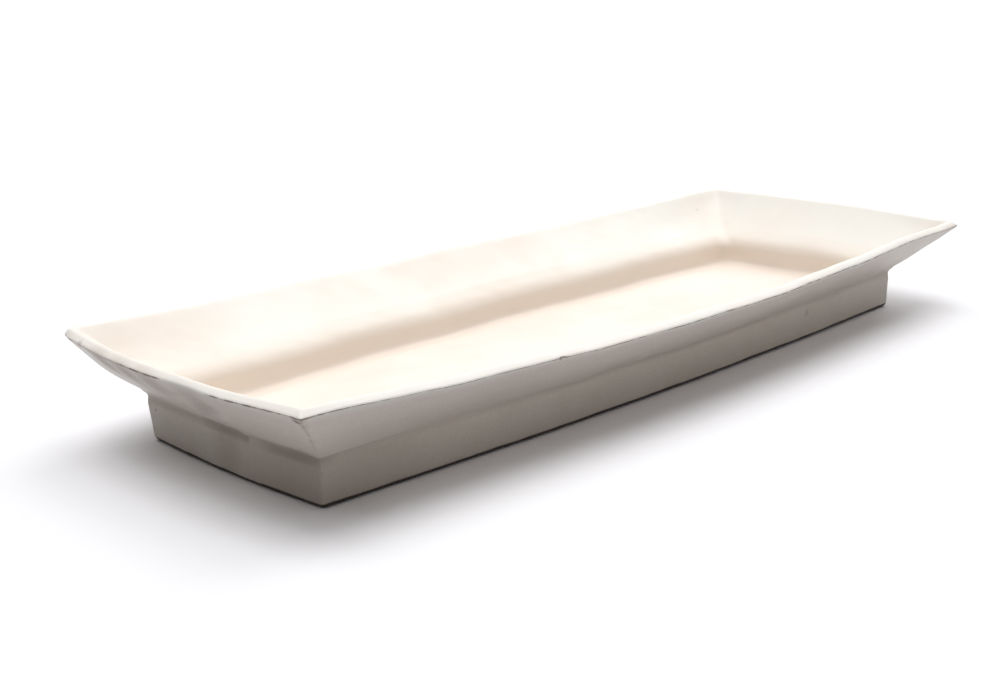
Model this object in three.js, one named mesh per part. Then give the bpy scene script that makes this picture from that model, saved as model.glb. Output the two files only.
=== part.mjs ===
// A rectangular serving plate of white-glazed stoneware, built from slabs of clay: a floor slab,
// four walls that stand round it, four flared rims on the walls, and coils of clay that stiffen
// the inside joints. The slabs are cut at 45 degrees at the corners and luted with slip.
//
// Lengths are in millimetres and angles in degrees. +X runs along the plate, +Y across it and +Z
// up. The origin lies on the table, under the middle of the plate.

import * as THREE from "three";

// Footprint, measured between the corners of the outer faces at the top of the walls
const BASE_LENGTH = 311;
const BASE_WIDTH = 90;

// Walls
const WALL_HEIGHT = 16.3; // table to the joint under the rim, at a corner
const WALL_THICKNESS = 7.2; // at the top of the wall
const WALL_DRAFT = 0.5; // how far the outer face leans in at the foot
const FOOT_ROUND = 2.4; // outer lower edge
const FOOT_INNER_ROUND = 1; // inner lower edge

// Floor
const FLOOR_THICKNESS = 6.6;
const FOOT_DEPTH = 2.4; // hollow under the floor, inside the foot

// Rims, at a corner
const RIM_REACH = 18.6; // lip past the wall's outer face
const RIM_RISE = 20.3; // lip's lower edge above the rim's seat
const RIM_BELLY = 0.9; // how far the rim curves below a straight slope
const LIP_THICKNESS = 3.3;
const LIP_ROUND = 1.1;
const SHOULDER_RISE = 3.1; // seat to the bend where the inside turns outward
const SHOULDER_ROUND = 6; // how far up the inner slope the bend reaches

// Outward bow of each side at its middle
const LONG_WALL_BOW = 4.5;
const SHORT_WALL_BOW = 2;
const LONG_LIP_BOW = 8.6;
const SHORT_LIP_BOW = 5.2;

// Dip of each side at its middle, below the height at the corners
const LONG_JOINT_DIP = 0.9;
const SHORT_JOINT_DIP = 0.1;
const LONG_LIP_DIP = 4.3;
const SHORT_LIP_DIP = 1;

// Coils pressed into the inside joints and smoothed to a cove
const FLOOR_COIL_RADIUS = 5;
const CORNER_COIL_RADIUS = 5;
const COIL_EDGE = 0.4; // thickness where a coil fades out

// Luting: the film of slip between two pieces
const SLIP_FILM = 0.3;

// Facets
const LONG_STATIONS = 26;
const SHORT_STATIONS = 14;
const ROUND_STEPS = 3;
const CURVE_STEPS = 7;
const COIL_STEPS = 5;
const CORNER_STEPS = 4;

const FLOOR_TOP = FOOT_DEPTH + FLOOR_THICKNESS;
const COIL_TOP = FLOOR_TOP + SLIP_FILM + coilLeg(FLOOR_COIL_RADIUS);
const RIM_SEAT = WALL_HEIGHT + SLIP_FILM;
const MITRE_ANGLE = 45;
// A floor coil rounds the corner in front of the corner coil, a slip film away from its face
const COIL_TURN_RADIUS = CORNER_COIL_RADIUS + SLIP_FILM / (Math.SQRT2 - 1);
const MITRE_SETBACK = (SLIP_FILM / 2) * Math.SQRT2; // half a slip film, along the side

const LONG = {
  halfLength: BASE_LENGTH / 2,
  distance: BASE_WIDTH / 2,
  wallBow: LONG_WALL_BOW,
  lipBow: LONG_LIP_BOW,
  jointDip: LONG_JOINT_DIP,
  lipDip: LONG_LIP_DIP,
  stations: LONG_STATIONS,
};
const SHORT = {
  halfLength: BASE_WIDTH / 2,
  distance: BASE_LENGTH / 2,
  wallBow: SHORT_WALL_BOW,
  lipBow: SHORT_LIP_BOW,
  jointDip: SHORT_JOINT_DIP,
  lipDip: SHORT_LIP_DIP,
  stations: SHORT_STATIONS,
};
const SIDES = [
  { name: "front", form: LONG, turn: 0 },
  { name: "right", form: SHORT, turn: 90 },
  { name: "back", form: LONG, turn: 180 },
  { name: "left", form: SHORT, turn: 270 },
];

const glazed = () =>
  new THREE.MeshStandardMaterial({ color: 0xf2e9dd, roughness: 0.35, metalness: 0 });

// A section is an outline in two coordinates: x is the distance outward from the walls' outer
// face, and y the height above the table.

function wallSection() {
  const shape = new THREE.Shape();
  const foot = -WALL_DRAFT;
  shape.moveTo(-WALL_THICKNESS + FOOT_INNER_ROUND, 0);
  shape.lineTo(foot - FOOT_ROUND, 0);
  shape.quadraticCurveTo(foot, 0, foot, FOOT_ROUND);
  shape.lineTo(0, WALL_HEIGHT);
  shape.lineTo(-WALL_THICKNESS, WALL_HEIGHT);
  shape.lineTo(-WALL_THICKNESS, FOOT_INNER_ROUND);
  shape.quadraticCurveTo(-WALL_THICKNESS, 0, -WALL_THICKNESS + FOOT_INNER_ROUND, 0);
  return shape.getPoints(ROUND_STEPS);
}

// The control point of a curve from a to b whose middle lies a depth to the right of the chord.
function bellyPoint(a, b, depth) {
  const chord = b.clone().sub(a).normalize();
  const right = new THREE.Vector2(chord.y, -chord.x);
  return a.clone().lerp(b, 0.5).addScaledVector(right, 2 * depth);
}

// The point that lies a length away from a, towards b.
function towards(a, b, length) {
  return b.clone().sub(a).setLength(length).add(a);
}

function curvePoints(start, control, end, steps) {
  return new THREE.QuadraticBezierCurve(start, control, end).getPoints(steps);
}

function rimSection() {
  const root = new THREE.Vector2(0, RIM_SEAT);
  const lipUnder = new THREE.Vector2(RIM_REACH, RIM_SEAT + RIM_RISE);
  const underBelly = bellyPoint(root, lipUnder, RIM_BELLY);
  const slope = lipUnder.clone().sub(underBelly).normalize();
  const acrossLip = new THREE.Vector2(-slope.y, slope.x);
  const lipTop = lipUnder.clone().addScaledVector(acrossLip, LIP_THICKNESS);
  const shoulder = new THREE.Vector2(-WALL_THICKNESS, RIM_SEAT + SHOULDER_RISE);
  const innerBelly = bellyPoint(shoulder, lipTop, RIM_BELLY);
  const seatInner = new THREE.Vector2(-WALL_THICKNESS, RIM_SEAT);

  const underEnd = towards(lipUnder, underBelly, LIP_ROUND);
  const innerStart = towards(lipTop, innerBelly, LIP_ROUND);
  const bendEnd = towards(shoulder, innerBelly, SHOULDER_ROUND);
  return [
    seatInner,
    ...curvePoints(root, underBelly, underEnd, CURVE_STEPS),
    ...curvePoints(underEnd, lipUnder, towards(lipUnder, lipTop, LIP_ROUND), ROUND_STEPS).slice(1),
    ...curvePoints(towards(lipTop, lipUnder, LIP_ROUND), lipTop, innerStart, ROUND_STEPS),
    ...curvePoints(innerStart, innerBelly, bendEnd, CURVE_STEPS).slice(1),
    ...curvePoints(bendEnd, shoulder, seatInner, ROUND_STEPS + 1).slice(1, -1),
  ];
}

// The angle of a coil's face that is trimmed off at each end, where the coil fades out.
function coilTrim(radius) {
  return Math.acos(1 - COIL_EDGE / radius);
}

// How far a coil reaches along each of the two pieces that it joins.
function coilLeg(radius) {
  return radius - radius * Math.sin(coilTrim(radius));
}

// A coil's section: two legs along -X and -Y from the joint at the origin, and a hollow face.
function coveShape(radius) {
  const trim = coilTrim(radius);
  const shape = new THREE.Shape();
  shape.moveTo(0, 0);
  shape.lineTo(-coilLeg(radius), 0);
  shape.absarc(-radius, -radius, radius, Math.PI / 2 - trim, trim, true);
  shape.lineTo(0, -coilLeg(radius));
  return shape;
}

function floorCoilSection() {
  const joint = new THREE.Vector2(-WALL_THICKNESS - SLIP_FILM, FLOOR_TOP + SLIP_FILM);
  const standing = (p) => new THREE.Vector2(joint.x + p.x, joint.y - p.y);
  return coveShape(FLOOR_COIL_RADIUS).getPoints(COIL_STEPS).map(standing);
}

// Where a section's point comes on a side that faces -Y. A station's share runs from -1 to 1
// along the side's straight stretch, and its turn is how far round the corner it has gone, in
// degrees: 45 is the mitre. The side takes the half wave of a strip that is bent at its ends.
function placeOnSide(form, sectionPoint, station, cornerRadius) {
  const out = sectionPoint.x;
  const spread = THREE.MathUtils.clamp(out / RIM_REACH, 0, 1);
  const risen = (sectionPoint.y - COIL_TOP) / (WALL_HEIGHT - COIL_TOP);
  const fullness = Math.cos((Math.PI / 2) * station.share);
  const bow = THREE.MathUtils.lerp(form.wallBow, form.lipBow, spread) * fullness;
  const dip = THREE.MathUtils.lerp(form.jointDip, form.lipDip, spread) * fullness;
  const turn = THREE.MathUtils.degToRad(station.turn);
  const straight = form.halfLength + out - cornerRadius - MITRE_SETBACK;
  return new THREE.Vector3(
    straight * station.share + cornerRadius * Math.sin(turn),
    -(form.distance + out + bow + cornerRadius * (Math.cos(turn) - 1)),
    sectionPoint.y - dip * THREE.MathUtils.clamp(risen, 0, 1),
  );
}

// The stations of a side: evenly along it, then, for a rounded corner, round to the mitre.
function stationsOf(form, cornerRadius) {
  const stations = [];
  for (let i = 0; i <= form.stations; i++) {
    stations.push({ share: (2 * i) / form.stations - 1, turn: 0 });
  }
  const cornerSteps = cornerRadius > 0 ? CORNER_STEPS : 0;
  for (let i = 1; i <= cornerSteps; i++) {
    const turn = (MITRE_ANGLE * i) / cornerSteps;
    stations.unshift({ share: -1, turn: -turn });
    stations.push({ share: 1, turn });
  }
  return stations;
}

// A closed body with one section all along a side, cut at the mitres.
function sideGeometry(section, form, cornerRadius = 0) {
  const outline = THREE.ShapeUtils.isClockWise(section) ? [...section].reverse() : [...section];
  if (outline[0].distanceTo(outline[outline.length - 1]) < 1e-9) outline.pop();
  const stations = stationsOf(form, cornerRadius);
  const count = outline.length;
  const positions = [];
  for (const station of stations) {
    for (const p of outline) positions.push(...placeOnSide(form, p, station, cornerRadius));
  }

  const triangles = [];
  for (let i = 0; i < stations.length - 1; i++) {
    for (let j = 0; j < count; j++) {
      const a = i * count + j;
      const b = i * count + ((j + 1) % count);
      triangles.push(a, a + count, b, b, a + count, b + count);
    }
  }
  const last = (stations.length - 1) * count;
  for (const [a, b, c] of THREE.ShapeUtils.triangulateShape(outline, [])) {
    triangles.push(a, b, c);
    triangles.push(last + a, last + c, last + b);
  }

  const geometry = new THREE.BufferGeometry();
  geometry.setAttribute("position", new THREE.Float32BufferAttribute(positions, 3));
  geometry.setIndex(triangles);
  geometry.computeVertexNormals();
  return geometry;
}

// The floor slab, with edges that follow the bowed walls.
function floorGeometry() {
  const edge = new THREE.Vector2(-WALL_THICKNESS - SLIP_FILM, 0);
  const outline = SIDES.flatMap(({ form, turn }) =>
    stationsOf(form, 0).map((station) => {
      const { x, y } = placeOnSide(form, edge, station, 0);
      return new THREE.Vector2(x, y).rotateAround(new THREE.Vector2(), THREE.MathUtils.degToRad(turn));
    }),
  );
  return new THREE.ExtrudeGeometry(new THREE.Shape(outline), {
    depth: FLOOR_THICKNESS,
    bevelEnabled: false,
  });
}

// A coil in the corner of two walls, with the joint at the origin and its face towards -X
// and -Y.
function cornerCoilGeometry() {
  return new THREE.ExtrudeGeometry(coveShape(CORNER_COIL_RADIUS), {
    depth: WALL_HEIGHT - FLOOR_TOP - SLIP_FILM,
    bevelEnabled: false,
    curveSegments: COIL_STEPS,
  });
}

const plate = new THREE.Group();
plate.name = "rectangular_plate";

function addPiece(name, geometry, parent = plate) {
  const mesh = new THREE.Mesh(geometry, glazed());
  mesh.name = name;
  parent.add(mesh);
  return mesh;
}

addPiece("floor_slab", floorGeometry()).position.z = FOOT_DEPTH;

for (const { name, form, turn } of SIDES) {
  const side = new THREE.Group();
  side.rotation.z = THREE.MathUtils.degToRad(turn);
  plate.add(side);
  addPiece(`wall_${name}`, sideGeometry(wallSection(), form), side);
  addPiece(`rim_${name}`, sideGeometry(rimSection(), form), side);
  addPiece(`floor_coil_${name}`, sideGeometry(floorCoilSection(), form, COIL_TURN_RADIUS), side);
}

const CORNERS = [
  { name: "back_right", x: 1, y: 1, turn: 0 },
  { name: "back_left", x: -1, y: 1, turn: 90 },
  { name: "front_left", x: -1, y: -1, turn: 180 },
  { name: "front_right", x: 1, y: -1, turn: 270 },
];
for (const { name, x, y, turn } of CORNERS) {
  const coil = addPiece(`corner_coil_${name}`, cornerCoilGeometry());
  const inset = WALL_THICKNESS + SLIP_FILM;
  coil.position.set(
    x * (BASE_LENGTH / 2 - inset),
    y * (BASE_WIDTH / 2 - inset),
    FLOOR_TOP + SLIP_FILM,
  );
  coil.rotation.z = THREE.MathUtils.degToRad(turn);
}

export default plate;
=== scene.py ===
"""The looks of a long rectangular plate of white-slipped, white-glazed stoneware.

The plate is built from slabs: a floor, four walls and four flared rims, with coils smoothed into
the inside joints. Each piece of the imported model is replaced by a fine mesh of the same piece.
The meshes meet without gaps, because slip and glaze have closed the joints of the fired plate.

Lengths in the classes are in millimetres. The meshes are written in metres, in the frame of the
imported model: +X along the plate, +Y across it, +Z up, the origin on the table under its middle.
"""

import logging
import math
from dataclasses import dataclass, field
from enum import Enum

import bpy
import numpy as np
from mathutils import Matrix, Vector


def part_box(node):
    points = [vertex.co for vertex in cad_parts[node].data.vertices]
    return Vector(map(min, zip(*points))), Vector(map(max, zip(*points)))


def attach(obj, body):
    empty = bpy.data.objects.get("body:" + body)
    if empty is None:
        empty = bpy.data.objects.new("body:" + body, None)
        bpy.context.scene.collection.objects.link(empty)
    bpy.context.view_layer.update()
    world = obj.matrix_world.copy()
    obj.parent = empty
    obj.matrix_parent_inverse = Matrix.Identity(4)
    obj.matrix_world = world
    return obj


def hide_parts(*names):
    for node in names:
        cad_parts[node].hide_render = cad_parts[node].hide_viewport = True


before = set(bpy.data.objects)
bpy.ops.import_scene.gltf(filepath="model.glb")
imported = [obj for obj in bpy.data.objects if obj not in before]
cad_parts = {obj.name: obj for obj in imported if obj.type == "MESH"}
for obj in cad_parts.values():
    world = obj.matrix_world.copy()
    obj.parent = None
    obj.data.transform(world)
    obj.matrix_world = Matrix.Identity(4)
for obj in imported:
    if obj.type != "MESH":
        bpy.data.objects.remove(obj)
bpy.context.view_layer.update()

LOG = logging.getLogger("plate")
MM = 0.001
BODY = "root"
FAR = 99.0
TINY = 1e-9

Array = np.ndarray
Place = tuple[float, float, float]
Colour = tuple[float, float, float, float]
Socket = bpy.types.NodeSocket
Value = Socket | float | tuple


# ---- The form of the plate -------------------------------------------------------------------


class Side(Enum):
    """A side of the plate, with the quarter turns that bring the front side to it."""

    FRONT = 0
    RIGHT = 1
    BACK = 2
    LEFT = 3

    @property
    def word(self) -> str:
        """The side's name in the names of its pieces."""
        return self.name.lower()

    @property
    def is_long(self) -> bool:
        """Whether this is one of the two long sides."""
        return self.value % 2 == 0

    @property
    def beside(self) -> "Side":
        """The side past this one's right-hand corner."""
        return Side((self.value + 1) % 4)

    def turned(self, points: Array) -> Array:
        """Turns points of a side that faces -Y to this side."""
        c, s = [(1.0, 0.0), (0.0, 1.0), (-1.0, 0.0), (0.0, -1.0)][self.value]
        return points @ np.array([[c, s, 0.0], [-s, c, 0.0], [0.0, 0.0, 1.0]])


@dataclass(frozen=True)
class SideForm:
    """How far a side reaches, how it bows outward in plan and how it dips in the middle.

    Spacing is how far apart the columns of its mesh are.
    """

    half_length: float
    distance: float
    wall_bow: float
    lip_bow: float
    joint_dip: float
    lip_dip: float
    spacing: float


@dataclass(frozen=True)
class PlateForm:
    """The named sizes of the plate, in millimetres. Those of the base are read from the frame."""

    long_side: SideForm
    short_side: SideForm
    joint_height: float
    floor_height: float
    floor_thickness: float
    wall_lit_patchesness: float = 7.2
    wall_draft: float = 0.5
    foot_round: float = 2.4
    foot_inner_round: float = 1.0
    rim_reach: float = 18.6
    rim_rise: float = 20.3
    rim_belly: float = 0.9
    lip_thickness: float = 3.3
    lip_round: float = 1.1
    shoulder_rise: float = 3.1
    shoulder_round: float = 6.0
    cove_radius: float = 5.0
    cove_fill: float = 0.8
    slip_film: float = 0.3

    @classmethod
    def from_frame(cls) -> "PlateForm":
        """Reads the base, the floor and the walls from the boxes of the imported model's nodes.

        Returns:
            The plate's form.
        """
        half_film = cls.slip_film / 2
        front_low, front_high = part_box("wall_front")
        left_low, left_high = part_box("wall_left")
        floor_low, floor_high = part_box("floor_slab")
        length = front_high.x / MM + half_film * math.sqrt(2)
        width = left_high.y / MM + half_film * math.sqrt(2)
        bow = -front_low.y / MM - width
        end_bow = -left_low.x / MM - length
        return cls(
            SideForm(length, width, bow, lip_bow=8.6, joint_dip=0.9, lip_dip=4.3, spacing=1.3),
            SideForm(width, length, end_bow, lip_bow=5.2, joint_dip=0.1, lip_dip=1.0, spacing=1.15),
            joint_height=front_high.z / MM + half_film,
            floor_height=floor_high.z / MM,
            floor_thickness=(floor_high.z - floor_low.z) / MM,
        )

    def side(self, side: Side) -> SideForm:
        """The form of one side."""
        return self.long_side if side.is_long else self.short_side


# ---- The section through a side --------------------------------------------------------------


def curve(points: list[Array], shares: Array) -> Array:
    """Points along a curve that bends towards its inner control points.

    Args:
        points: Where it starts, what it bends towards, and where it ends.
        shares: How far along it each point is, from 0 to 1.

    Returns:
        The points, one in each row.
    """
    t = shares[:, None]
    while len(points) > 1:
        points = [(1 - t) * a + t * b for a, b in zip(points, points[1:])]
    return points[0]


def towards(a: Array, b: Array, length: float) -> Array:
    """The point that lies a length away from a, on the way to b."""
    return a + (b - a) * (length / np.linalg.norm(b - a))


def belly(a: Array, b: Array, depth: float) -> Array:
    """The control point of a curve from a to b whose middle lies a depth right of the chord."""
    chord = (b - a) / np.linalg.norm(b - a)
    return (a + b) / 2 + 2 * depth * np.array([chord[1], -chord[0]])


@dataclass
class Pen:
    """Draws a section as one line of rows.

    A row holds the distance outward from the walls' outer face, the height above the table, the
    radius of the plate's corners, and how far from a corner the straight stretch ends.
    """

    rows: Array = field(init=False, default_factory=lambda: np.empty((0, 4)))

    def add(self, points: Array, corner: float | Array) -> int:
        """Adds rows.

        Args:
            points: The distance outward and the height of each.
            corner: The radius of the plate's corners.

        Returns:
            The number of the last row.
        """
        corner = np.broadcast_to(corner, len(points))
        self.rows = np.concatenate([self.rows, np.column_stack([points, corner, corner])])
        return len(self.rows) - 1

    def draw(self, *through: Array | tuple, steps: int, corner: float | Array) -> int:
        """Goes on along a curve.

        Args:
            *through: What the curve bends towards, and its end.
            steps: How many rows to add.
            corner: The radius of the plate's corners.

        Returns:
            The number of the last row.
        """
        shares = np.linspace(0, 1, steps + 1)[1:]
        return self.add(curve([self.rows[-1, :2], *through], shares), corner)


@dataclass
class Section(Pen):
    """The plate's skin in section, from the edge of the floor over the rim to under the foot.

    Its numbers are those of the rows where one stretch ends and the next begins.
    """

    form: PlateForm
    cove_end: int = field(init=False)
    seat: int = field(init=False)
    lip_low: int = field(init=False)
    lip_edge: int = field(init=False)
    joint: int = field(init=False)
    foot_start: int = field(init=False)
    under_wall: int = field(init=False)
    floor_corner: float = 1.8
    well_corner: float = 6.0
    bend_corner: float = 3.2
    slope_corner: float = 2.0
    lip_corner: float = 0.8
    under_corner: float = 4.6
    joint_corner: float = 1.3
    wall_corner: float = 1.0
    back_corner: float = 1.5
    cove_steps: int = 14
    bend_steps: int = 14
    slope_steps: int = 24
    lip_steps: int = 6
    under_steps: int = 38
    under_crowding: float = 1.7
    fillet_start: float = 0.9
    fillet_bend: float = 0.3
    groove_out: float = 0.13
    groove_bend: float = 0.4
    groove_end: float = 1.4
    low_start: float = 4.0
    foot_corner: float = 1.1
    under_fillet: float = 0.8

    def __post_init__(self) -> None:
        """Draws the well, the rim, then the outside down to the foot."""
        self.draw_well()
        self.draw_rim()
        self.draw_outside()

    def draw_well(self) -> None:
        """Draws the cove from the floor's edge, and the strip of wall up to the rim's seat."""
        f, floor, inner = self.form, self.form.floor_height, -self.form.wall_lit_patchesness
        fill = (1 - f.cove_fill) * f.cove_radius
        ends = (inner - f.cove_radius, floor), (inner, floor + f.cove_radius)
        controls = [ends[0], (inner - fill, floor), (inner, floor + fill), ends[1]]
        cove = curve(controls, np.linspace(0, 1, self.cove_steps + 1))
        corner = np.interp(cove[:, 0], (ends[0][0], inner), (self.floor_corner, self.well_corner))
        self.cove_end = self.add(cove, corner)
        self.seat = self.draw((inner, f.joint_height), steps=4, corner=self.well_corner)

    def draw_rim(self) -> None:
        """Draws the rim: its slope, its lip, and its underside down into the joint's groove."""
        f, joint = self.form, self.form.joint_height
        root = np.array([0.0, joint + f.slip_film / 2])
        lip_under = root + (f.rim_reach, f.rim_rise)
        under_belly = belly(root, lip_under, f.rim_belly)
        slope = (lip_under - under_belly) / np.linalg.norm(lip_under - under_belly)
        lip_top = lip_under + f.lip_thickness * np.array([-slope[1], slope[0]])
        shoulder = root + (-f.wall_lit_patchesness, f.shoulder_rise)
        inner_belly = belly(shoulder, lip_top, f.rim_belly)

        bend_end = towards(shoulder, inner_belly, f.shoulder_round)
        corner = np.linspace(self.well_corner, self.bend_corner, self.bend_steps)
        self.draw(shoulder, bend_end, steps=self.bend_steps, corner=corner)
        falling = np.exp(-np.linspace(0, 5, self.slope_steps))
        corner = self.slope_corner + (self.bend_corner - self.slope_corner) * falling
        inner_start = towards(lip_top, inner_belly, f.lip_round)
        self.draw(inner_belly, inner_start, steps=self.slope_steps, corner=corner)
        top_end = towards(lip_top, lip_under, f.lip_round)
        under_start = towards(lip_under, lip_top, f.lip_round)
        under_end = towards(lip_under, under_belly, f.lip_round)
        steps, corner = self.lip_steps, self.lip_corner
        self.draw(lip_top, top_end, steps=steps, corner=corner)
        self.draw(under_start, steps=steps // 2, corner=corner)
        self.lip_edge = self.draw(lip_under, under_end, steps=steps, corner=corner)
        self.lip_low = self.lip_edge - steps // 2

        shares = np.linspace(0, 1, self.under_steps + 1)[1:]
        shares = 1 - (1 - shares) ** self.under_crowding
        under = curve([under_end, under_belly, root], shares)
        under = under[np.linalg.norm(under - root, axis=1) > self.fillet_start]
        into_groove = [under[-1], root + self.fillet_bend, (self.groove_out, joint)]
        under = np.concatenate([under, curve(into_groove, np.linspace(0, 1, 6)[1:])])
        ends = (self.wall_corner, self.under_corner, self.under_corner, self.joint_corner)
        corner = np.interp(np.linspace(0, 1, len(under)), (0, 0.25, 0.75, 1), ends)
        self.joint = self.add(under, corner)

    def draw_outside(self) -> None:
        """Draws the wall's outside, the foot, and the start of the floor's underside."""
        f, joint, inner = self.form, self.form.joint_height, -self.form.wall_lit_patchesness
        face, lean = -f.wall_draft, f.wall_draft / (joint - f.foot_round)
        depths = (self.groove_end, self.low_start)
        wall_top, low_top = [(-depth * lean, joint - depth) for depth in depths]
        bend = (0.0, joint - self.groove_bend)
        self.draw(bend, wall_top, steps=6, corner=self.joint_corner)
        self.draw(low_top, steps=8, corner=self.wall_corner)
        self.foot_start = self.draw((face, f.foot_round), steps=9, corner=self.wall_corner)
        self.draw((face, 0.0), (face - f.foot_round, 0.0), steps=8, corner=self.foot_corner)
        self.draw((inner + f.foot_inner_round, 0.0), steps=4, corner=self.joint_corner)
        under = f.floor_height - f.floor_thickness
        back, fillet = self.back_corner, self.under_fillet
        self.draw((inner, 0.0), (inner, f.foot_inner_round), steps=5, corner=back)
        self.under_wall = self.draw((inner, under - fillet), steps=1, corner=back)
        self.draw((inner, under), (inner - 2 * fillet, under), steps=5, corner=back)

    def behind(self, points: Array | list[tuple[float, float]]) -> Array:
        """Rows inside the clay, which end where the well's corners start but turn more tightly."""
        ends = np.tile([self.back_corner, self.well_corner], (len(points), 1))
        return np.hstack([points, ends])


# ---- The skin: the section carried round the plate -------------------------------------------


@dataclass
class Stations:
    """Where a side's columns are: the straight stretch, and half of each corner.

    Shares say where those of the straight stretch are, from -1 to 1. Turns say how far those of
    the right-hand corner have turned, up to 1 at the mitre. Leaning says so for all the columns.
    """

    form: SideForm
    corner_steps: int = 10
    first_step: float = 0.35
    growth: float = 1.3
    shares: Array = field(init=False)
    turns: Array = field(init=False)
    leaning: Array = field(init=False)

    def __post_init__(self) -> None:
        """Sets the columns, closer together towards the corners."""
        places, step = [0.0], self.first_step
        while places[-1] < self.form.half_length:
            places.append(places[-1] + step)
            step = min(step * self.growth, self.form.spacing)
        half = 1 - np.array(places) / places[-1]
        self.shares = np.concatenate([-half, half[::-1][1:]])
        self.turns = np.linspace(0, 1, self.corner_steps + 1)[1:]
        self.leaning = np.concatenate([-self.turns[::-1], 0 * self.shares, self.turns])

    def __len__(self) -> int:
        """The number of columns."""
        return len(self.leaning)


@dataclass
class Carrier:
    """Carries rows of the section along a side that is bowed, dips and ends in rounded mitres.

    The dip starts at a share of the cove's height. Round a corner the surface is a share of the
    corner's radius long.
    """

    form: PlateForm
    dip_start: float = 0.62
    corner_arc: float = 0.85
    stations: dict[Side, Stations] = field(init=False)

    def __post_init__(self) -> None:
        """Sets the columns of each side."""
        self.stations = {side: Stations(self.form.side(side)) for side in Side}

    def straight(self, side: Side, rows: Array, along: Array) -> Array:
        """Points on the side's bowed stretch.

        Args:
            side: The side.
            rows: The rows, one for each line of along.
            along: Places along the side, from its middle, for each row.

        Returns:
            Points with the side facing -Y, in the shape of along and a last axis of three.
        """
        f, s = self.form, self.form.side(side)
        out, height = rows.T[:2, :, None]
        full = np.cos((math.pi / 2) * along / (s.half_length + out))
        spread = np.clip(out / f.rim_reach, 0, 1)
        low = f.floor_height + f.slip_film + self.dip_start * f.cove_radius
        risen = np.clip((height - low) / (f.joint_height - low), 0, 1)
        bow = (s.wall_bow + (s.lip_bow - s.wall_bow) * spread) * full
        dip = (s.joint_dip + (s.lip_dip - s.joint_dip) * spread) * full * risen
        return np.stack([along, -(s.distance + out + bow), height - dip], axis=-1)

    def corner(self, side: Side, rows: Array, turn: Array) -> Array:
        """Points on the half of the right-hand corner that belongs to the side.

        Args:
            side: The side.
            rows: The rows.
            turn: How far round each column has gone: 0 is the straight stretch, 1 the mitre.

        Returns:
            Points with the side facing -Y: one line for each row, one column for each turn.
        """
        s = self.form.side(side)
        out, height, tight, reach = rows.T[..., None]
        half = s.half_length + out
        start = self.straight(side, rows, half - tight)
        tip = np.stack([half, -(s.distance + out), height], axis=-1)
        end = Side.RIGHT.turned(self.straight(side.beside, rows, tight - s.distance - out))
        middle = 0.25 * start + 0.5 * tip + 0.25 * end
        lead = np.where(reach > tight + TINY, 0.5, 0.0)
        run_in = np.clip(turn / np.maximum(lead, TINY), 0, 1)
        straight = self.straight(side, rows, half - reach + (reach - tight) * run_in)
        t = np.clip((turn - lead) / (1 - lead), 0, 1)[..., None]
        bent = (1 - t) ** 2 * start + t * (1 - t) * (start + tip) + t**2 * middle
        return np.where((turn <= lead)[..., None], straight, bent)

    def local(self, side: Side, rows: Array) -> Array:
        """Rows carried from one mitre of a side to the other, with the side facing -Y.

        Args:
            side: The side.
            rows: The rows.

        Returns:
            Points, one line for each row, one column for each station.
        """
        stations = self.stations[side]
        half = self.form.side(side).half_length + rows[:, :1]
        middle = self.straight(side, rows, stations.shares * (half - rows[:, 3:]))
        right = self.corner(side, rows, stations.turns)
        # the other end is the same corner of a mirrored plate
        left = right[:, ::-1] * [-1.0, 1.0, 1.0]
        return np.concatenate([left, middle, right], axis=1)

    def seam_distance(self, side: Side, rows: Array) -> Array:
        """How far each point of a side lies from its nearer mitre, in millimetres.

        Args:
            side: The side.
            rows: The rows.

        Returns:
            Distances, one line for each row, one column for each station.
        """
        stations = self.stations[side]
        half, tight = self.form.side(side).half_length + rows[:, :1], rows[:, 2:3]
        arc = self.corner_arc * tight
        straight = arc + (1 - np.abs(stations.shares)) * (half - tight)
        turn = arc * (1 - stations.turns)
        return np.concatenate([turn[:, ::-1], straight, turn], axis=1)


@dataclass(frozen=True)
class Touch:
    """Where a finger or tool has pushed the clay, how far, and how wide the push reaches."""

    centre: Place
    push: Place
    reach: Place


@dataclass(frozen=True)
class Trace:
    """A value that changes from place to place, as along a side from its middle."""

    places: tuple[float, ...]
    values: tuple[float, ...]

    def at(self, place: Array) -> Array:
        """The value at places, in millimetres."""
        return np.interp(place, self.places, self.values)


NOWHERE = Trace((0.0,), (0.0,))


@dataclass(frozen=True)
class Ridge:
    """A bead or a groove along the joint.

    It has a distance above the joint, a width and a depth, and a course with the share of that
    depth along each side: front, right, back and left.
    """

    above: float
    width: float
    depth: float
    courses: tuple[Trace, ...]

    def share(self, side: Side, along: Array, joint: Array) -> Array:
        """Its share of the full depth, at places along a side and distances from the joint."""
        across = np.exp(-(((joint - self.above) / self.width) ** 2))
        return self.courses[side.value].at(along) * across


@dataclass
class Distances:
    """How far points of the skin are from its edges, in millimetres along the surface."""

    seam: Array
    lip: Array
    joint: Array


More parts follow.
